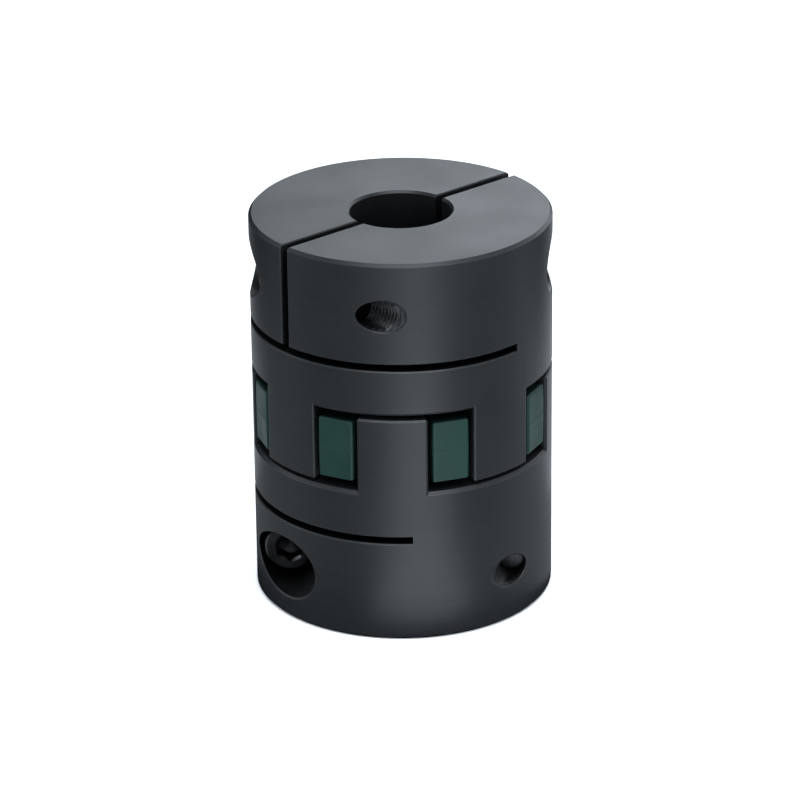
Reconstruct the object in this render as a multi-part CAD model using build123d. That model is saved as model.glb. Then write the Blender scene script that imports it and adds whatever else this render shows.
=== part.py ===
from build123d import *
import os
from math import cos, radians, sin

os.makedirs("parts", exist_ok=True)

# A jaw coupling: two clamp hubs with four jaws each, and an eight-legged elastic spider
# between the jaws. Millimetres. Z is the shaft axis, and the lower hub stands on z = 0.

# driving dimensions of the coupling
OUTER_RADIUS = 47.5
BORE_RADIUS = 16.0
HUB_LENGTH = 50.0  # of one hub without its jaws
HUB_GAP = 26.0  # between the faces that the two hubs' jaws stand on
JAWS_PER_HUB = 4
SPIDER_THICKNESS = 20.0

# clamp screws, M10 x 30 socket head
SCREW_RADIUS = 5.0
SCREW_LENGTH = 30.0
HEAD_RADIUS = 8.0
HEAD_HEIGHT = 10.0
HEX_ACROSS_FLATS = 8.0
HEX_DEPTH = 5.0
SCREW_OFFSET = 35.2  # from the shaft axis to the screw's axis
SCREW_HEIGHT = 17.0  # from the hub's end face to the screw's axis
HEAD_SEAT = 8.0  # from the axial slot's middle to the face under the head

# holes for the screws
COUNTERBORE_RADIUS = 10.0
CLEARANCE_RADIUS = 5.5
TAPPED_RADIUS = SCREW_RADIUS + 0.05

# clamp slots
AXIAL_SLOT_WIDTH = 3.0
CROSS_SLOT_WIDTH = 2.3
CROSS_SLOT_HEIGHT = 34.0  # from the end face to the cross slot's middle
CROSS_SLOT_REACH = 6.2  # how far the cross slot runs past the shaft axis

# jaws, and the pockets between them that the legs fill; a pocket's flanks are arcs through
# three points, each given as (distance from the shaft axis, half the pocket's width)
JAW_INNER_RADIUS = 27.4
JAW_TIP_CLEARANCE = 1.5
POCKET_ROOT = (JAW_INNER_RADIUS - 4.0, 5.2)
POCKET_CROWN = (36.5, 6.95)
POCKET_MOUTH = (OUTER_RADIUS + 1.5, 7.3)

# spider, with its legs' crowned flanks given in the same way
RING_INNER_RADIUS = 23.0
RING_OUTER_RADIUS = 27.0
LEG_ROOT = (RING_OUTER_RADIUS - 2.0, 4.6)
LEG_CROWN = (36.5, 6.6)
LEG_TIP = (46.8, 5.8)
NUB_RADIUS = 2.2  # the nubs that hold the spider clear of the hubs' faces
NUB_DISTANCE = 32.0

# broken edges
RIM_CHAMFER = 1.0
BORE_CHAMFER = 0.75
SLOT_CHAMFER = 0.35
JAW_TIP_CHAMFER = 0.5
MOUTH_CHAMFER = 0.4
JAW_OUTER_ROUND = 0.8
JAW_INNER_ROUND = 1.6
LEG_TIP_ROUND = 0.9
LEG_ROOT_ROUND = 0.9
LEG_EDGE_ROUND = 1.4

# worked out from the above
JAW_LENGTH = HUB_GAP - JAW_TIP_CLEARANCE
TOTAL_LENGTH = 2 * HUB_LENGTH + HUB_GAP
LEGS = 2 * JAWS_PER_HUB
FIRST_LEG_ANGLE = 180 / LEGS  # the legs stand halfway between the jaws
SPIDER_BOTTOM = TOTAL_LENGTH / 2 - SPIDER_THICKNESS / 2
BEYOND = 2 * OUTER_RADIUS  # past anything that a cutter has to reach


def crowned_outline(root, crown, end):
    """A face along +X between two mirrored arcs through the given (distance, half width) points."""
    flank = ThreePointArc(root, crown, end)
    other_flank = flank.mirror(Plane.XZ)
    across_root = Line(flank @ 0, other_flank @ 0)
    across_end = Line(flank @ 1, other_flank @ 1)
    return make_face([flank, across_end, other_flank, across_root])


def around_axis(solid, count, first_angle=0.0):
    """Count copies of a solid, evenly spaced around the shaft axis."""
    pitch = 360 / count
    return [Rot(0, 0, first_angle + i * pitch) * solid for i in range(count)]


def turned_blank():
    """The hub's round body with its bore, long enough for the jaws, its end and bore chamfered."""
    section = Polyline(
        (BORE_RADIUS + BORE_CHAMFER, 0),
        (OUTER_RADIUS - RIM_CHAMFER, 0),
        (OUTER_RADIUS, RIM_CHAMFER),
        (OUTER_RADIUS, HUB_LENGTH + JAW_LENGTH),
        (BORE_RADIUS, HUB_LENGTH + JAW_LENGTH),
        (BORE_RADIUS, BORE_CHAMFER),
        close=True,
    )
    return revolve(make_face(Plane.XZ * section), Axis.Z)


def jaw_outline():
    """A jaw on +X seen along the axis: concave flanks, round inner corners, open past the rim."""
    half_pitch = radians(FIRST_LEG_ANGLE)
    wedge = make_face(
        Polyline(
            (0, 0),
            (BEYOND * cos(half_pitch), -BEYOND * sin(half_pitch)),
            (BEYOND * cos(half_pitch), BEYOND * sin(half_pitch)),
            close=True,
        )
    )
    outline = wedge - Circle(JAW_INNER_RADIUS)
    pocket = crowned_outline(POCKET_ROOT, POCKET_CROWN, POCKET_MOUTH)
    outline -= Rot(0, 0, FIRST_LEG_ANGLE) * pocket
    outline -= Rot(0, 0, -FIRST_LEG_ANGLE) * pocket
    corners = outline.vertices().sort_by_distance((0, 0, 0))
    return fillet(corners[:2], JAW_INNER_ROUND)


def between_jaws():
    """Cutter that clears everything but the jaws from the jaw end."""
    outline = Circle(POCKET_MOUTH[0] - 0.5)
    for one_jaw in around_axis(jaw_outline(), JAWS_PER_HUB):
        outline -= one_jaw
    return Pos(0, 0, HUB_LENGTH) * extrude(outline, 2 * JAW_LENGTH)


def between_jaws_rim():
    """Cutter that breaks the rim of the faces between the jaws and stops at the jaws."""
    beyond_corner = RIM_CHAMFER + 1
    section = Polyline(
        (OUTER_RADIUS - beyond_corner, HUB_LENGTH + 1),
        (OUTER_RADIUS + 1, HUB_LENGTH + 1),
        (OUTER_RADIUS + 1, HUB_LENGTH - beyond_corner),
        close=True,
    )
    rim = revolve(make_face(Plane.XZ * section), Axis.Z)
    for one_jaw in around_axis(jaw_outline(), JAWS_PER_HUB):
        rim -= Pos(0, 0, HUB_LENGTH - 2 * beyond_corner) * extrude(one_jaw, 4 * beyond_corner)
    return rim


def is_on_rim(point):
    """Whether a point lies on the hub's outer cylinder."""
    return abs(Vector(point.X, point.Y).length - OUTER_RADIUS) < 0.01


def jawed_blank():
    """The blank with its jaws milled out and the edges of jaws and bore broken."""
    solid = turned_blank() - between_jaws() - between_jaws_rim()
    above_face = solid.edges().filter_by(Axis.Z).filter_by_position(Axis.Z, HUB_LENGTH, TOTAL_LENGTH)
    solid = fillet(above_face.filter_by(lambda edge: is_on_rim(edge @ 0)), JAW_OUTER_ROUND)
    top = HUB_LENGTH + JAW_LENGTH
    tips = solid.edges().filter_by_position(Axis.Z, top - 0.01, top + 0.01)
    solid = chamfer(tips, JAW_TIP_CHAMFER)
    circles = solid.edges().filter_by(GeomType.CIRCLE)
    bore_rim = circles.filter_by(lambda edge: abs(edge.radius - BORE_RADIUS) < 0.01).sort_by(Axis.Z)[-1]
    return chamfer(bore_rim, BORE_CHAMFER)


def axial_slot():
    """Cutter for the slot that splits the hub across its whole width, down to the cross slot."""
    half = AXIAL_SLOT_WIDTH / 2
    wide = half + SLOT_CHAMFER
    depth = CROSS_SLOT_HEIGHT + CROSS_SLOT_WIDTH / 2
    across = Polyline(
        (-wide, 0),
        (wide, 0),
        (half, SLOT_CHAMFER),
        (half, depth),
        (-half, depth),
        (-half, SLOT_CHAMFER),
        close=True,
    )
    slot = extrude(make_face(Plane.YZ * across), BEYOND, both=True)
    notch = Polyline(
        (OUTER_RADIUS, -wide),
        (OUTER_RADIUS, wide),
        (OUTER_RADIUS - SLOT_CHAMFER, half),
        (OUTER_RADIUS - SLOT_CHAMFER, -half),
        close=True,
    )
    for broken_edge in around_axis(extrude(make_face(notch), depth), 2):
        slot += broken_edge
    return slot


def cross_slot():
    """Cutter for the slot that frees the clamp halves, from the -X side to past the axis."""
    half = CROSS_SLOT_WIDTH / 2
    wide = half + SLOT_CHAMFER
    reach = Pos(CROSS_SLOT_REACH - BEYOND / 2, 0, CROSS_SLOT_HEIGHT)
    groove = Polyline(
        (OUTER_RADIUS, CROSS_SLOT_HEIGHT - wide),
        (OUTER_RADIUS, CROSS_SLOT_HEIGHT + wide),
        (OUTER_RADIUS - SLOT_CHAMFER, CROSS_SLOT_HEIGHT + half),
        (OUTER_RADIUS - SLOT_CHAMFER, CROSS_SLOT_HEIGHT - half),
        close=True,
    )
    broken_edge = revolve(make_face(Plane.XZ * groove), Axis.Z) & reach * Box(BEYOND, BEYOND, 4 * wide)
    return reach * Box(BEYOND, BEYOND, CROSS_SLOT_WIDTH) + broken_edge


def screw_hole():
    """Cutter for one clamp screw's hole: counterbore on the -Y side, thread on the +Y side."""
    tapped = Cylinder(TAPPED_RADIUS, BEYOND, align=(Align.CENTER, Align.CENTER, Align.MIN))
    clearance = Cylinder(CLEARANCE_RADIUS, HEAD_SEAT, align=(Align.CENTER, Align.CENTER, Align.MAX))
    counterbore = Pos(0, 0, -HEAD_SEAT) * Cylinder(
        COUNTERBORE_RADIUS, BEYOND, align=(Align.CENTER, Align.CENTER, Align.MAX)
    )
    return screw_place() * (tapped + clearance + counterbore)


def screw_place():
    """Where the first screw of the lower hub sits: its local +Z points from the head to the tip."""
    return Pos(-SCREW_OFFSET, 0, SCREW_HEIGHT) * Rot(-90, 0, 0)


def hub():
    """The lower hub, with its clamp end down and its jaws up."""
    solid = jawed_blank()
    solid -= axial_slot()
    solid -= cross_slot()
    for hole in around_axis(screw_hole(), 2):
        solid -= hole
    below_face = solid.edges().filter_by_position(Axis.Z, 0, CROSS_SLOT_HEIGHT)
    mouths = below_face.filter_by(GeomType.BSPLINE).filter_by(lambda edge: is_on_rim(edge @ 0.5))
    return chamfer(mouths, MOUTH_CHAMFER)


def clamp_screw():
    """The first screw of the lower hub, tightened."""
    shank = Cylinder(SCREW_RADIUS, SCREW_LENGTH, align=(Align.CENTER, Align.CENTER, Align.MIN))
    shank = chamfer(shank.edges().sort_by(Axis.Z)[-1], 1.0)
    head = Cylinder(HEAD_RADIUS, HEAD_HEIGHT, align=(Align.CENTER, Align.CENTER, Align.MAX))
    head = fillet(head.edges().sort_by(Axis.Z)[0], 1.0)
    socket = RegularPolygon(HEX_ACROSS_FLATS / 2, 6, major_radius=False)
    socket = Pos(0, 0, -HEAD_HEIGHT) * extrude(socket, HEX_DEPTH)
    return screw_place() * Pos(0, 0, -HEAD_SEAT) * (head + shank - socket)


def spider():
    """The elastic insert: a ring with crowned legs, and nubs that rest on both hubs' faces."""
    leg = crowned_outline(LEG_ROOT, LEG_CROWN, LEG_TIP)
    leg = fillet(leg.vertices().sort_by(Axis.X)[-2:], LEG_TIP_ROUND)
    outline = Circle(RING_OUTER_RADIUS)
    for one_leg in around_axis(leg, LEGS, FIRST_LEG_ANGLE):
        outline += one_leg
    roots = [v for v in outline.vertices() if abs(v.center().length - RING_OUTER_RADIUS) < 0.01]
    outline = fillet(roots, LEG_ROOT_ROUND)
    outline -= Circle(RING_INNER_RADIUS)
    body = Pos(0, 0, SPIDER_BOTTOM) * extrude(outline, SPIDER_THICKNESS)
    ends = body.faces().filter_by(Axis.Z)
    body = fillet(ends.edges(), LEG_EDGE_ROUND)
    nub = Pos(NUB_DISTANCE, 0, HUB_LENGTH) * Cylinder(
        NUB_RADIUS, HUB_GAP, align=(Align.CENTER, Align.CENTER, Align.MIN)
    )
    nub = chamfer(nub.edges().filter_by(GeomType.CIRCLE), 0.5)
    for one_nub in around_axis(nub, LEGS, FIRST_LEG_ANGLE):
        body += one_nub
    return body


# The upper hub and its screws are the lower ones turned over end for end, so that its jaws
# fall between the lower hub's jaws.
flip_angle = radians(FIRST_LEG_ANGLE)
flip_axis = Axis((0, 0, TOTAL_LENGTH / 2), (cos(flip_angle), sin(flip_angle), 0))
lower_hub = hub()
lower_screws = around_axis(clamp_screw(), 2)

nodes = {
    "lower_hub": lower_hub,
    "spider": spider(),
    "upper_hub": lower_hub.rotate(flip_axis, 180),
    "lower_screw_1": lower_screws[0],
    "lower_screw_2": lower_screws[1],
    "upper_screw_1": lower_screws[0].rotate(flip_axis, 180),
    "upper_screw_2": lower_screws[1].rotate(flip_axis, 180),
}
for name, solid in nodes.items():
    export_step(solid, f"parts/{name}.step")
    print(name, round(solid.volume), "mm3")
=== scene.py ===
from math import atan2, cos, hypot, pi, radians, sin, sqrt

import bmesh
import bpy
from mathutils import Matrix, Vector


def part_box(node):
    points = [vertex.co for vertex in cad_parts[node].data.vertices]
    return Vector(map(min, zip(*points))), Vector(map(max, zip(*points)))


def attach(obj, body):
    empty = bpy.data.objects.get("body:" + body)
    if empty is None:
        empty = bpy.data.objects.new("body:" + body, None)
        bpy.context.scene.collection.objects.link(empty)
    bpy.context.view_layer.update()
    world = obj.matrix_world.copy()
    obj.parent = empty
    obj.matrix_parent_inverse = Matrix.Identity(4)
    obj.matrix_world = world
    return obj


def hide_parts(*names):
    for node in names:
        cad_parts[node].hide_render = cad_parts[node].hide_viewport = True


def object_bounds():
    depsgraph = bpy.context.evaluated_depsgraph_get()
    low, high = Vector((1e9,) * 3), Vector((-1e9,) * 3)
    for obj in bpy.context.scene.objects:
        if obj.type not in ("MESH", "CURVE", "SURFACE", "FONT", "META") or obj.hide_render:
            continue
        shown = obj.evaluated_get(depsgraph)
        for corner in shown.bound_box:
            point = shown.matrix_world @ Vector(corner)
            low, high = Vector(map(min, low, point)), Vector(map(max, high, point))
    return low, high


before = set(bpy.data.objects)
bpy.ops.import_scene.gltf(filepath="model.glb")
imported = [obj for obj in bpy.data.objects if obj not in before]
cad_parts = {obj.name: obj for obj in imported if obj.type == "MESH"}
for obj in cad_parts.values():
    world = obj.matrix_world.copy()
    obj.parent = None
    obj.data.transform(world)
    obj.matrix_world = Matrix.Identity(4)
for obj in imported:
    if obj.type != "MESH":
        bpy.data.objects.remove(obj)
cad_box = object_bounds()

MM = 0.001

# Sizes of the coupling, in metres, the same as the CAD model's but for the insert's edge rounds, which
# are finer. Heights come from the model's bounds.
OUTER_RADIUS = 47.5 * MM
COUPLING_LENGTH = cad_box[1][2] - cad_box[0][2]
MIDDLE_HEIGHT = cad_box[0][2] + COUPLING_LENGTH / 2
LEGS = 8
HALF_PITCH = pi / LEGS  # from a jaw's middle to a leg's middle

# M10 x 30 socket head screw, measured along its axis from the middle of the axial slot
PITCH = 1.5 * MM
THREAD_RADIUS = 4.93 * MM
THREAD_DEPTH = 0.85 * MM
THREAD_CLEARANCE = 0.09 * MM
ROOT_START = 0.44  # the root's flat starts this share of the pitch from the crest's middle
FLANK_SHARE = 0.36  # of the pitch, along the axis
HEAD_RADIUS = 8.0 * MM
HEAD_SEAT = 8.0 * MM
HEAD_HEIGHT = 10.0 * MM
SCREW_LENGTH = 30.0 * MM
HEX_ACROSS_FLATS = 8.0 * MM
HEX_DEPTH = 5.0 * MM
HEX_CHAMFER = 0.7 * MM
HEAD_ROUND = 1.0 * MM
KNURL_DEPTH = 0.28 * MM
KNURL_TEETH = 48
TAPPED_RADIUS = 5.05 * MM
SLOT_HALF_WIDTH = 1.5 * MM

# insert
RING_INNER = 23.0 * MM
RING_OUTER = 27.0 * MM
INSERT_THICKNESS = 20.0 * MM
HUB_GAP = 26.0 * MM
LEG_CROWN = (36.5 * MM, 6.6 * MM)  # (distance from the axis, half width) of a leg's flank
LEG_ROOT = (25.0 * MM, 4.6 * MM)
LEG_TIP = (46.8 * MM, 5.8 * MM)
TIP_ROUND = 0.9 * MM
ROOT_ROUND = 0.9 * MM
BOW = 0.12 * MM  # how far the middle of the moulded walls stands proud of their ends
EDGE_ROUND = 0.75 * MM  # with the bow, less than the tip's round, or the rounded edge would fold over
PARTING_LINE = 0.1 * MM
RING_ROUND = 1.0 * MM
RING_ANGLES = [2 * pi * i / 96 for i in range(96)]
NUB_DISTANCE = 32.0 * MM
NUB_RADIUS = 2.2 * MM
NUB_ROUND = 0.8 * MM

# stage
CAMERA_AZIMUTH = radians(4.0)
CAMERA_ELEVATION = radians(23.4)
CAMERA_ROLL = radians(0.62)
CAMERA_DISTANCE = 1.3132
LIGHT_COLOUR = (0.86, 0.93, 1.0)
FLOOR_REACH = 4.0
FLOOR_HEIGHT = cad_box[0][2] - 0.05 * MM
CARD_HEIGHT = cad_box[0][2] + 1.0 * MM


# ---------------------------------------------------------------- meshes


def add_object(name, bm, sharp_angle=radians(32)):
    """Turns a bmesh into an object, shaded smooth but for its sharp edges."""
    bmesh.ops.recalc_face_normals(bm, faces=bm.faces)
    for face in bm.faces:
        face.smooth = True
    for edge in bm.edges:
        edge.smooth = len(edge.link_faces) == 2 and edge.calc_face_angle(0.0) < sharp_angle
    mesh = bpy.data.meshes.new(name)
    bm.to_mesh(mesh)
    bm.free()
    piece = bpy.data.objects.new(name, mesh)
    bpy.context.collection.objects.link(piece)
    piece.modifiers.new("flat_faces_stay_flat", "WEIGHTED_NORMAL").keep_sharp = True
    return piece


def add_grid(bm, rings, closed_ends=True, looped=False):
    """Joins rings of equally many points into a skin; its ends are capped, or it loops round."""
    rows = [[bm.verts.new(point) for point in ring] for ring in rings]
    pairs = list(zip(rows, rows[1:]))
    if looped:
        pairs.append((rows[-1], rows[0]))
    for low, high in pairs:
        for i in range(len(low)):
            j = (i + 1) % len(low)
            bm.faces.new((low[i], low[j], high[j], high[i]))
    if closed_ends and not looped:
        for ring in (rows[0], rows[-1]):
            middle = bm.verts.new(sum((v.co for v in ring), Vector()) / len(ring))
            for i in range(len(ring)):
                bm.faces.new((ring[i], ring[(i + 1) % len(ring)], middle))


def thread_radius(angle, height):
    """The radius of the clamp screw's thread, flat at crest and root with sloping flanks between."""
    phase = (height / PITCH - angle / (2 * pi)) % 1.0
    from_crest = min(phase, 1 - phase)
    rise = min(max((ROOT_START - from_crest) / FLANK_SHARE, 0.0), 1.0)
    return THREAD_RADIUS - THREAD_DEPTH * (1 - rise)


def hex_radius(angle):
    """The distance from the screw's axis to the wall of its hex socket."""
    sixth = pi / 3
    return HEX_ACROSS_FLATS / 2 / cos((angle + sixth / 2) % sixth - sixth / 2)


def ring_of(angles, radius_at, height):
    """A ring of points whose distance from the axis may change with the angle."""
    return [(radius_at(a) * cos(a), radius_at(a) * sin(a), height) for a in angles]


def screw_mesh():
    """A socket head screw along +Z, its head down, with hex socket, knurl and thread."""
    columns = 96
    angles = [2 * pi * i / columns for i in range(columns)]
    top = -HEAD_SEAT - HEAD_HEIGHT
    rings = []

    def circle(radius, height):
        rings.append(ring_of(angles, lambda a: radius, height))

    def knurled(height):
        wave = KNURL_DEPTH / 2
        rings.append(ring_of(angles, lambda a: HEAD_RADIUS - wave - wave * cos(KNURL_TEETH * a), height))

    circle(0.8 * MM, top + HEX_DEPTH + 1.6 * MM)
    circle(3.9 * MM, top + HEX_DEPTH)
    rings.append(ring_of(angles, hex_radius, top + HEX_DEPTH))
    rings.append(ring_of(angles, hex_radius, top + HEX_CHAMFER))
    circle(HEX_ACROSS_FLATS * 0.6, top)
    for i in range(5):
        turn = pi / 2 * i / 4
        circle(HEAD_RADIUS - HEAD_ROUND * (1 - sin(turn)), top + HEAD_ROUND * (1 - cos(turn)))
    knurled(top + HEAD_ROUND + 0.3 * MM)
    knurled(-HEAD_SEAT - 1.1 * MM)
    circle(HEAD_RADIUS, -HEAD_SEAT - 0.75 * MM)
    circle(HEAD_RADIUS, -HEAD_SEAT - 0.3 * MM)
    circle(HEAD_RADIUS - 0.3 * MM, -HEAD_SEAT)
    circle(THREAD_RADIUS + 0.35 * MM, -HEAD_SEAT)
    tip = SCREW_LENGTH - HEAD_SEAT
    steps = int(SCREW_LENGTH / PITCH * 8)
    for i in range(1, steps + 1):
        height = -HEAD_SEAT + SCREW_LENGTH * i / steps
        from_head = height + HEAD_SEAT
        chamfer = THREAD_RADIUS - 1.0 * MM + (tip - height)
        neck = max(THREAD_RADIUS - max(from_head - 1.0 * MM, 0.0), 0.0)

        def radius_at(a):
            return min(max(thread_radius(a, height), neck), chamfer)

        rings.append(ring_of(angles, radius_at, height))
    bm = bmesh.new()
    add_grid(bm, rings)
    return bm


def tapped_thread_mesh(offset):
    """The thread inside a tapped hole, from the axial slot to the hub's rim, which cuts it off."""
    columns = 60
    rows = 170
    skin = TAPPED_RADIUS - 0.004 * MM
    inner, outer = [], []
    for row in range(rows + 1):
        inside, wall = [], []
        for i in range(columns):
            a = 2 * pi * i / columns
            start = SLOT_HALF_WIDTH + 0.1 * MM
            end = sqrt(OUTER_RADIUS ** 2 - (skin * cos(a) - offset) ** 2) - 0.35 * MM
            height = start + (end - start) * row / rows
            fade = min(1.0, row / 8, (rows - row) / 8)
            radius = skin - (skin - thread_radius(a, height) - THREAD_CLEARANCE) * fade
            radius = min(radius, skin - 0.01 * MM)
            inside.append((radius * cos(a), radius * sin(a), height))
            wall.append((skin * cos(a), skin * sin(a), height))
        inner.append(inside)
        outer.append(wall)
    bm = bmesh.new()
    add_grid(bm, inner + outer[::-1], looped=True)
    return bm


def arc(centre, radius, start, end, steps):
    """Points on an arc in the plane, from one angle to another."""
    angles = [start + (end - start) * i / steps for i in range(steps + 1)]
    return [Vector((centre[0] + radius * cos(a), centre[1] + radius * sin(a))) for a in angles]


def circle_through(a, b, c):
    """The centre and radius of the circle through three points."""
    ax, ay, bx, by, cx, cy = *a, *b, *c
    d = 2 * (ax * (by - cy) + bx * (cy - ay) + cx * (ay - by))
    sa, sb, sc = ax * ax + ay * ay, bx * bx + by * by, cx * cx + cy * cy
    x = (sa * (by - cy) + sb * (cy - ay) + sc * (ay - by)) / d
    y = (sa * (cx - bx) + sb * (ax - cx) + sc * (bx - ax)) / d
    return Vector((x, y)), hypot(ax - x, ay - y)


def leg_side():
    """One side of a leg along +X, from the tip's middle to the ring halfway to the next leg."""
    centre, radius = circle_through(LEG_ROOT, LEG_CROWN, LEG_TIP)
    # the tip's corner rolls between the flat tip and the flank's arc
    corner_x = LEG_TIP[0] - TIP_ROUND
    corner_y = centre.y + sqrt((radius - TIP_ROUND) ** 2 - (corner_x - centre.x) ** 2)
    corner = Vector((corner_x, corner_y))
    flank_start = atan2(corner.y - centre.y, corner.x - centre.x)
    # the root's fillet touches the flank's arc and the ring's circle from outside
    reach, ring_reach = radius + ROOT_ROUND, RING_OUTER + ROOT_ROUND
    gap = centre.length
    along = (ring_reach ** 2 - reach ** 2 + gap ** 2) / (2 * gap)
    across = sqrt(ring_reach ** 2 - along ** 2)
    towards = centre / gap
    root = min(
        (towards * along + Vector((-towards.y, towards.x)) * side for side in (across, -across)),
        key=lambda p: abs(p.y - LEG_ROOT[1] - ROOT_ROUND),
    )
    flank_end = atan2(root.y - centre.y, root.x - centre.x)
    root_start = flank_end - pi
    root_end = atan2(-root.y, -root.x)
    ring_start = atan2(root.y, root.x)
    points = [Vector((LEG_TIP[0], corner.y * i / 4)) for i in range(4)]
    points += arc(corner, TIP_ROUND, 0.0, flank_start, 6)
    points += arc(centre, radius, flank_start, flank_end, 14)[1:]
    points += arc(root, ROOT_ROUND, root_start, root_end, 4)[1:]
    points += arc((0, 0), RING_OUTER, ring_start, HALF_PITCH, 4)[1:]
    return points


def insert_outline():
    """The insert's outer outline, all the way round."""
    side = leg_side()
    other = [Vector((p.x, -p.y)) for p in side[1:-1]][::-1]
    leg = other + side
    outline = []
    for i in range(LEGS):
        turn = Matrix.Rotation(HALF_PITCH + i * 2 * HALF_PITCH, 2)
        outline += [turn @ p for p in leg]
    return outline


def inward_normals(outline):
    """For each point of a closed outline that runs anticlockwise, the way into the material."""
    normals = []
    for i, point in enumerate(outline):
        along = outline[(i + 1) % len(outline)] - outline[i - 1]
        normals.append(Vector((-along.y, along.x)).normalized())
    return normals


def insert_mesh():
    """The elastic insert: its outer and inner walls, the flat faces between them, and its nubs."""
    outline = insert_outline()
    inward = inward_normals(outline)
    half = INSERT_THICKNESS / 2
    straight = half - EDGE_ROUND
    quarter = [pi / 2 * i / 5 for i in range(6)]
    outer, inner = [], []

    def outer_ring(inset, height):
        outer.append([(*(p + n * inset), MIDDLE_HEIGHT + height) for p, n in zip(outline, inward)])

    def inner_ring(radius, height):
        inner.append(ring_of(RING_ANGLES, lambda a: radius, MIDDLE_HEIGHT + height))

    # down the outer wall, which bows outwards a little and carries the mould's parting line
    for turn in quarter:
        outer_ring(BOW + EDGE_ROUND * (1 - sin(turn)), straight + EDGE_ROUND * cos(turn))
    for share in (0.8, 0.6, 0.4, 0.2, 0.03):
        outer_ring(BOW * share ** 2, straight * share)
    outer_ring(-PARTING_LINE, 0.0)
    for share in (0.03, 0.2, 0.4, 0.6, 0.8):
        outer_ring(BOW * share ** 2, -straight * share)
    for turn in reversed(quarter):
        outer_ring(BOW + EDGE_ROUND * (1 - sin(turn)), -straight - EDGE_ROUND * cos(turn))
    # down the ring's inner wall
    for turn in quarter:
        inner_ring(RING_INNER + RING_ROUND * (1 - sin(turn)), half - RING_ROUND * (1 - cos(turn)))
    for turn in reversed(quarter):
        inner_ring(RING_INNER + RING_ROUND * (1 - sin(turn)), -half + RING_ROUND * (1 - cos(turn)))
    bm = bmesh.new()
    add_grid(bm, outer, closed_ends=False)
    add_grid(bm, inner, closed_ends=False)
    open_edges = [edge for edge in bm.edges if edge.is_boundary]
    for above in (True, False):
        rim = [edge for edge in open_edges if (edge.verts[0].co.z > MIDDLE_HEIGHT) == above]
        bmesh.ops.triangle_fill(bm, use_beauty=True, edges=rim)
    for i in range(LEGS):
        add_nub(bm, HALF_PITCH * (2 * i + 1))
    return bm


def add_nub(bm, angle):
    """The spacer nubs of one leg: a short pin through the leg, rounded where it meets the hubs."""
    centre = Vector((NUB_DISTANCE * cos(angle), NUB_DISTANCE * sin(angle), MIDDLE_HEIGHT))
    half = HUB_GAP / 2
    profile = [(NUB_RADIUS - NUB_ROUND * (1 - cos(t)), half - NUB_ROUND * (1 - sin(t)))
               for t in (pi / 2, pi / 3, pi / 6, 0.0)]
    profile += [(radius, -height) for radius, height in profile[::-1]]
    angles = [2 * pi * i / 24 for i in range(24)]
    rings = []
    for radius, height in profile:
        rings.append([centre + Vector((radius * cos(a), radius * sin(a), height)) for a in angles])
    add_grid(bm, rings)


# ---------------------------------------------------------------- materials


class Nodes:
    """A material's nodes, added by name with their inputs set or linked."""

    def __init__(self, name):
        self.material = bpy.data.materials.new(name)
        self.material.use_nodes = True
        self.tree = self.material.node_tree
        self.shader = self.tree.nodes["Principled BSDF"]

    def add(self, kind, settings=None, **inputs):
        node = self.tree.nodes.new("ShaderNode" + kind)
        for key, value in (settings or {}).items():
            setattr(node, key, value)
        for key, value in inputs.items():
            self.put(node, key.replace("_", " "), value)
        return node

    def put(self, node, socket, value):
        target = node.inputs[int(socket)] if socket.isdigit() else node.inputs[socket]
        if isinstance(value, bpy.types.NodeSocket):
            self.tree.links.new(value, target)
        else:
            target.default_value = value

    def math(self, operation, *values):
        node = self.tree.nodes.new("ShaderNodeMath")
        node.operation = operation
        for i, value in enumerate(values):
            self.put(node, str(i), value)
        return node.outputs[0]

    def blend(self, share, low, high):
        node = self.tree.nodes.new("ShaderNodeMix")
        node.data_type = "RGBA"
        self.put(node, "0", share)
        self.put(node, "6", low)
        self.put(node, "7", high)
        return node.outputs[2]

    def remap(self, value, low, high, to_low, to_high):
        node = self.add("MapRange", Value=value)
        node.inputs["From Min"].default_value = low
        node.inputs["From Max"].default_value = high
        node.inputs["To Min"].default_value = to_low
        node.inputs["To Max"].default_value = to_high
        return node.outputs[0]

    def noise(self, scale, detail=2.0, vector=None):
        node = self.add("TexNoise", Scale=scale, Detail=detail)
        if vector is None:
            vector = self.place()
        self.put(node, "Vector", vector)
        return node.outputs["Fac"]

    def place(self):
        return self.add("TexCoord").outputs["Object"]

    def edge_mask(self, width):
        """1 on edges within a width, 0 on flat ground: where a rounded normal leaves the true one."""
        rounded = self.add("Bevel", {"samples": 6}, Radius=width).outputs[0]
        true_normal = self.add("NewGeometry").outputs["Normal"]
        dot = self.add("VectorMath", {"operation": "DOT_PRODUCT"})
        self.put(dot, "0", rounded)
        self.put(dot, "1", true_normal)
        return self.remap(dot.outputs["Value"], 0.985, 0.90, 0.0, 1.0)

    def openness(self, reach, own=False):
        """1 in the open, falling to 0 deep in gaps that the reach spans; own leaves out other pieces."""
        settings = {"samples": 6, "only_local": own}
        return self.add("AmbientOcclusion", settings, Distance=reach).outputs["AO"]

    def bump(self, height, strength, distance):
        return self.add("Bump", Height=height, Strength=strength, Distance=distance).outputs[0]


def colour(red, green, blue):
    return (red, green, blue, 1.0)


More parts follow.
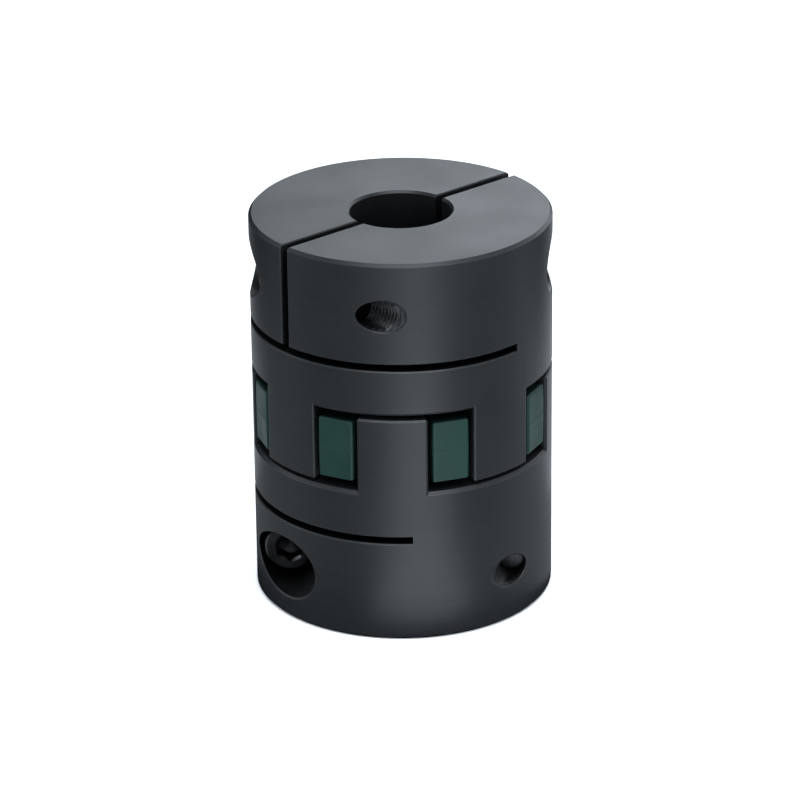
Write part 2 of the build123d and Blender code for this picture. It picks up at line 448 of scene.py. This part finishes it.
def anodised_aluminium():
    """Black anodised turned aluminium: tool marks round the rim and in rings on the end faces, painted
    highlights along its edges and painted shade deep in its bore, slots, holes and between its jaws.
    """
    m = Nodes("black_anodised_aluminium")
    place = m.add("SeparateXYZ", Vector=m.place())
    x, y, z = place.outputs
    distance = m.math("SQRT", m.math("ADD", m.math("MULTIPLY", x, x), m.math("MULTIPLY", y, y)))
    normal = m.add("SeparateXYZ", Vector=m.add("NewGeometry").outputs["Normal"])
    faces_up = m.remap(m.math("ABSOLUTE", normal.outputs["Z"]), 0.55, 0.85, 0.0, 1.0)
    along = m.math("ADD", m.math("MULTIPLY", distance, faces_up),
                   m.math("MULTIPLY", z, m.math("SUBTRACT", 1.0, faces_up)))
    line = m.add("CombineXYZ", X=along).outputs[0]
    fine_marks = m.noise(4200.0, 3.0, line)
    broad_marks = m.noise(520.0, 2.0, line)
    cloud = m.noise(38.0, 3.0)
    grain = m.noise(5200.0, 2.0)
    # painted highlight: within 0.35 mm of an edge the colour is lightened, in patches set by noise
    edge = m.edge_mask(0.35 * MM)
    painted_edge_highlight = m.math("MULTIPLY", edge, m.remap(m.noise(420.0, 3.0), 0.35, 0.7, 0.25, 1.0))
    tone = m.blend(cloud, colour(0.0095, 0.0112, 0.0125), colour(0.0125, 0.0143, 0.0158))
    tone = m.blend(m.remap(broad_marks, 0.3, 0.7, 0.0, 0.3), tone, colour(0.018, 0.0200, 0.022))
    tone = m.blend(m.math("MULTIPLY", painted_edge_highlight, 0.45), tone, colour(0.10, 0.108, 0.115))
    # painted shade: the colour goes nearly black deep in the bore, slots, holes and between the jaws,
    # where the hub hides the light from itself
    openness = m.remap(m.openness(42.0 * MM, own=True), 0.4, 0.95, 0.0, 1.0)
    tone = m.blend(openness, colour(0.001, 0.001, 0.0012), tone)
    m.put(m.shader, "Base Color", tone)
    marks_roughness = m.remap(fine_marks, 0.2, 0.8, 0.40, 0.50)
    cloud_roughness = m.remap(cloud, 0.3, 0.7, -0.03, 0.04)
    m.put(m.shader, "Roughness", m.math("ADD", marks_roughness, cloud_roughness))
    m.shader.inputs["Metallic"].default_value = 0.0
    m.shader.inputs["IOR"].default_value = 1.5
    m.shader.inputs["Specular IOR Level"].default_value = 0.38
    height = m.math("ADD", m.math("MULTIPLY", fine_marks, 1.0), m.math("MULTIPLY", grain, 0.35))
    m.put(m.shader, "Normal", m.bump(height, 0.35, 0.02 * MM))
    return m.material


def green_polyurethane():
    """Moulded green polyurethane, satin, a little lighter along its rounded edges, with painted shade
    where it sits close to other surfaces.
    """
    m = Nodes("green_polyurethane")
    cloud = m.noise(120.0, 3.0)
    grain = m.noise(3500.0, 2.0)
    tone = m.blend(cloud, colour(0.0045, 0.0235, 0.0185), colour(0.0075, 0.0330, 0.0260))
    # a little lighter within 0.8 mm of its edges
    edge_lightening = m.math("MULTIPLY", m.edge_mask(0.8 * MM), 0.3)
    tone = m.blend(edge_lightening, tone, colour(0.030, 0.075, 0.063))
    # painted shade: the colour goes nearly black in the narrow gaps next to the jaws and the hubs, where
    # light hardly reaches
    painted_gap_shade = m.remap(m.openness(6.0 * MM), 0.25, 0.75, 0.0, 1.0)
    tone = m.blend(painted_gap_shade, colour(0.001, 0.004, 0.0035), tone)
    m.put(m.shader, "Base Color", tone)
    m.put(m.shader, "Roughness", m.remap(cloud, 0.3, 0.7, 0.44, 0.56))
    m.shader.inputs["IOR"].default_value = 1.5
    m.shader.inputs["Specular IOR Level"].default_value = 0.25
    m.shader.inputs["Subsurface Weight"].default_value = 0.05
    m.shader.inputs["Subsurface Radius"].default_value = (0.4, 1.0, 0.7)
    m.shader.inputs["Subsurface Scale"].default_value = 1.0 * MM
    m.put(m.shader, "Normal", m.bump(grain, 0.25, 0.02 * MM))
    return m.material


def black_oxide_steel():
    """Black oxide on alloy steel, thinly oiled, bare at the edges that a key and a hole rub, with
    painted shade in its socket and where it sits in the hub.
    """
    m = Nodes("black_oxide_steel")
    cloud = m.noise(260.0, 3.0)
    grain = m.noise(6000.0, 2.0)
    edge = m.math("MULTIPLY", m.edge_mask(0.2 * MM), m.remap(m.noise(900.0, 3.0), 0.3, 0.7, 0.2, 1.0))
    tone = m.blend(cloud, colour(0.11, 0.109, 0.115), colour(0.16, 0.157, 0.163))
    tone = m.blend(m.math("MULTIPLY", edge, 0.5), tone, colour(0.32, 0.31, 0.30))
    # painted shade: the colour goes nearly black in the hex socket and where the screw sits close to the
    # hub, where light hardly reaches
    openness = m.remap(m.openness(7.0 * MM), 0.35, 0.8, 0.0, 1.0)
    tone = m.blend(openness, colour(0.006, 0.006, 0.0065), tone)
    m.put(m.shader, "Base Color", tone)
    m.put(m.shader, "Roughness", m.remap(cloud, 0.3, 0.7, 0.36, 0.50))
    m.shader.inputs["Metallic"].default_value = 1.0
    m.put(m.shader, "Normal", m.bump(grain, 0.2, 0.01 * MM))
    return m.material


def pale_floor():
    """Matt white board with a barely seen mottle."""
    m = Nodes("pale_floor")
    tone = m.blend(m.noise(9.0, 3.0), colour(0.86, 0.865, 0.87), colour(0.9, 0.9, 0.9))
    m.put(m.shader, "Base Color", tone)
    m.shader.inputs["Roughness"].default_value = 0.9
    m.shader.inputs["Specular IOR Level"].default_value = 0.0
    return m.material


def set_material(piece, material):
    """Gives the whole piece one material."""
    piece.data.materials.clear()
    piece.data.materials.append(material)


# ---------------------------------------------------------------- the coupling


def add_screws(steel, alloy):
    """The four clamp screws and the threads in the holes that they hold in."""
    low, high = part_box("lower_screw_1")
    offset = abs(low[0] + high[0]) / 2
    middle = Vector(((low[0] + high[0]) / 2, 0, (low[2] + high[2]) / 2))
    place = Matrix.Translation(middle) @ Matrix.Rotation(-pi / 2, 4, "X")
    half_turn = Matrix.Rotation(pi, 4, "Z")
    line = Vector((cos(HALF_PITCH), sin(HALF_PITCH), 0))
    to_middle = Matrix.Translation((0, 0, MIDDLE_HEIGHT))
    turned_over = to_middle @ Matrix.Rotation(pi, 4, line) @ to_middle.inverted()
    places = {
        "lower_screw_1": place,
        "lower_screw_2": half_turn @ place,
        "upper_screw_1": turned_over @ place,
        "upper_screw_2": turned_over @ half_turn @ place,
    }
    for name, matrix in places.items():
        bm = screw_mesh()
        bmesh.ops.transform(bm, matrix=matrix, verts=bm.verts)
        screw = add_object(name + "_detailed", bm)
        set_material(screw, steel)
        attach(screw, name)
        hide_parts(name)
        bm = tapped_thread_mesh(offset)
        bmesh.ops.transform(bm, matrix=matrix, verts=bm.verts)
        thread = add_object(name + "_tapped_thread", bm)
        set_material(thread, alloy)
        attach(thread, name.split("_")[0] + "_hub")


def add_insert(elastomer):
    """The green insert, in place of the plain CAD one."""
    insert = add_object("spider_moulded", insert_mesh())
    set_material(insert, elastomer)
    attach(insert, "spider")
    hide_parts("spider")


# ---------------------------------------------------------------- the stage


def add_camera():
    """A long lens, a little to the right of the front and above, and rolled a little."""
    target = Vector((0, 0, MIDDLE_HEIGHT))
    place = target + CAMERA_DISTANCE * direction(CAMERA_AZIMUTH, CAMERA_ELEVATION)
    camera = bpy.data.objects.new("camera", bpy.data.cameras.new("camera"))
    camera.data.lens = 186.1
    camera.data.sensor_width = 36.0
    camera.data.clip_end = 20.0
    camera.data.shift_x = -0.0029
    camera.data.shift_y = -0.0068
    camera.matrix_world = aimed(place, target) @ Matrix.Rotation(-CAMERA_ROLL, 4, "Z")
    bpy.context.collection.objects.link(camera)
    bpy.context.scene.camera = camera


def direction(azimuth, elevation):
    """The way to a point seen from the coupling: azimuth 0 is the front, -Y, and turns towards +X."""
    level = cos(elevation)
    return Vector((level * sin(azimuth), -level * cos(azimuth), sin(elevation)))


def aimed(place, aim):
    """A matrix that puts a camera or lamp at a place and points it at its aim."""
    away = Vector(place) - Vector(aim)
    return Matrix.Translation(place) @ away.to_track_quat("Z", "Y").to_matrix().to_4x4()


def add_light(name, place, aim, size, radiance):
    """A rectangular soft light of even brightness, which the camera itself doesn't see."""
    data = bpy.data.lights.new(name, "AREA")
    data.shape = "RECTANGLE"
    data.size, data.size_y = size
    data.energy = radiance * pi * size[0] * size[1]
    data.color = LIGHT_COLOUR
    lamp = bpy.data.objects.new(name, data)
    lamp.matrix_world = aimed(place, aim)
    lamp.visible_camera = False
    bpy.context.collection.objects.link(lamp)


def add_card(name, azimuth, near, far, width, radiance):
    """A glowing strip on the floor that runs outwards at an azimuth, from near to far of the axis."""
    way = direction(radians(azimuth), 0.0)
    place = (near + far) / 2 * way + Vector((0, 0, CARD_HEIGHT))
    add_light(name, place, place - Vector((0, 0, 1)), (far - near, width), radiance)
    card = bpy.data.objects[name]
    card.matrix_world = Matrix.Translation(place) @ Matrix.Rotation(radians(azimuth - 90), 4, "Z")
    card.matrix_world @= Matrix.Rotation(pi, 4, "X")


def add_floor():
    """A white board, which the coupling's gloss doesn't show: the cards on it do that."""
    bm = bmesh.new()
    corners = ((-1, -1), (1, -1), (1, 1), (-1, 1))
    bm.faces.new([bm.verts.new((FLOOR_REACH * x, FLOOR_REACH * y, FLOOR_HEIGHT)) for x, y in corners])
    floor = add_object("floor", bm)
    set_material(floor, pale_floor())
    floor.visible_glossy = False


def add_world():
    """An even pale surround, which the coupling's gloss doesn't show either."""
    world = bpy.data.worlds.new("studio")
    world.use_nodes = True
    background = world.node_tree.nodes["Background"]
    background.inputs["Color"].default_value = colour(0.95, 0.97, 1.0)
    background.inputs["Strength"].default_value = 0.55
    bpy.context.scene.world = world
    world.cycles_visibility.glossy = False


def add_lights():
    """Softboxes round the coupling and above it, a faintly glowing table and glowing cards on it."""
    # name, azimuth and elevation in degrees, distance, (width, height), radiance
    softboxes = (
        ("back_softbox", 160, 30, 0.9, (0.9, 0.7), 3.1),
        ("left_softbox", -85, 26, 1.1, (0.9, 0.6), 2.3),
        ("right_softbox", 85, 26, 1.1, (0.9, 0.6), 2.0),
        ("low_front_softbox", 5, 26, 1.1, (0.9, 0.6), 1.3),
        ("front_softbox", 12, 65, 1.1, (0.8, 0.6), 7.0),
    )
    middle = Vector((0, 0, MIDDLE_HEIGHT))
    for name, azimuth, elevation, distance, size, radiance in softboxes:
        place = middle + distance * direction(radians(azimuth), radians(elevation))
        add_light(name, place, middle, size, radiance)
    add_light("table_glow", (0, 0, CARD_HEIGHT), (0, 0, -1), (3.0, 3.0), 0.36)
    # name, azimuth in degrees, near end, far end, width, radiance
    cards = (
        ("front_card_near", 14, 0.06, 0.13, 0.06, 2.8),
        ("front_card_middle", 14, 0.13, 0.25, 0.10, 3.0),
        ("front_card_far", 14, 0.25, 0.60, 0.20, 3.0),
        ("back_card", 180, 0.06, 0.50, 0.36, 1.35),
        ("right_card_near", 95, 0.049, 0.16, 0.10, 0.55),
        ("right_card", 100, 0.17, 0.50, 0.12, 0.7),
        ("left_card", -85, 0.06, 0.50, 0.12, 0.4),
    )
    for card in cards:
        add_card(*card)


add_camera()
add_floor()
add_world()
add_lights()
bpy.context.scene.view_settings.view_transform = "Standard"
hub_alloy = anodised_aluminium()
for node in ("lower_hub", "upper_hub"):
    set_material(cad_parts[node], hub_alloy)
add_insert(green_polyurethane())
add_screws(black_oxide_steel(), hub_alloy)
